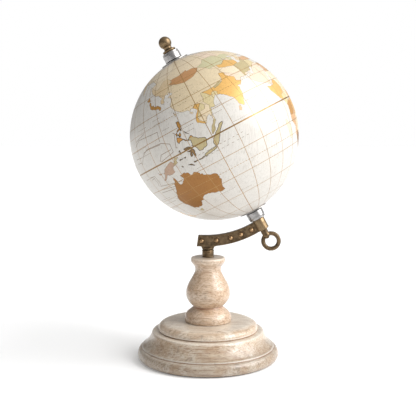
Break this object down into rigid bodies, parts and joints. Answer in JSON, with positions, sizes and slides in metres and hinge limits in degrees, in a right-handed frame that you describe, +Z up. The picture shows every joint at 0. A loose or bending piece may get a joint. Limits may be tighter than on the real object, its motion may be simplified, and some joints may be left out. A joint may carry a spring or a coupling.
{
  "type": "desktop globe on stand",
  "caption": "Desktop globe with a printed map ball that spins on a tilted axle, held by a riveted brass arm on a turned, lime-washed wooden stand.",
  "frame": {"origin": "centre of the felt pad's underside, on the stand's vertical axis", "axes": "+Z up the stand; the arm reaches towards +X in the XZ plane, and the globe's north pole leans towards -X"},
  "size_m": [0.1495, 0.15, 0.29],
  "materials": {
    "limed_wood": "lime-washed turned hardwood, satin",
    "dark_felt": "pressed felt",
    "antique_brass": "dark antiqued casting",
    "rubbed_brass": "antiqued and rubbed bright",
    "zinc_steel": "zinc plated",
    "nickel": "turned nickel plate",
    "map_paper": "printed paper under satin varnish",
    "pressed_board": "moulded board, unseen",
    "bush_plastic": "moulded plastic, unseen",
    "grey_plate": "thin pressed plate"
  },
  "bodies": {
    "stand": {"felt_pad": "dark_felt", "base": "limed_wood", "spindle": "limed_wood", "stem_ferrule": "antique_brass", "swivel_washer": "zinc_steel", "tie_washer": "zinc_steel"},
    "arm": {"arm": "antique_brass", "arm_rivet_1": "rubbed_brass", "arm_rivet_2": "rubbed_brass", "arm_rivet_3": "rubbed_brass", "arm_rivet_4": "rubbed_brass", "arm_rivet_5": "rubbed_brass", "arm_boss": "rubbed_brass", "tie_rod": "zinc_steel", "tie_nut": "zinc_steel", "axle_rod": "zinc_steel", "south_collar": "nickel", "north_collar": "nickel"},
    "globe": {"map_skin": "map_paper", "globe_shell_north": "pressed_board", "globe_shell_south": "pressed_board", "seam_band": "pressed_board", "pole_bush_north": "bush_plastic", "pole_bush_south": "bush_plastic", "polar_disc_north": "grey_plate", "polar_disc_south": "grey_plate"},
    "eye_nut": {"eye_nut": "antique_brass"},
    "finial": {"finial": "rubbed_brass"}
  },
  "joints": [
    {"name": "arm_swivel", "type": "hinge", "parent": "stand", "child": "arm", "pos_m": [0, 0, 0.1008], "axis": [0, 0, 1], "continuous": true},
    {"name": "globe_spin", "type": "hinge", "parent": "arm", "child": "globe", "pos_m": [0.00553, 0, 0.20225], "axis": [-0.4695, 0, 0.8829], "continuous": true},
    {"name": "eye_nut_turn", "type": "hinge", "parent": "arm", "child": "eye_nut", "pos_m": [0.05154, 0, 0.11572], "axis": [-0.4695, 0, 0.8829], "continuous": true},
    {"name": "finial_turn", "type": "hinge", "parent": "arm", "child": "finial", "pos_m": [-0.03812, 0, 0.28437], "axis": [-0.4695, 0, 0.8829], "continuous": true}
  ]
}
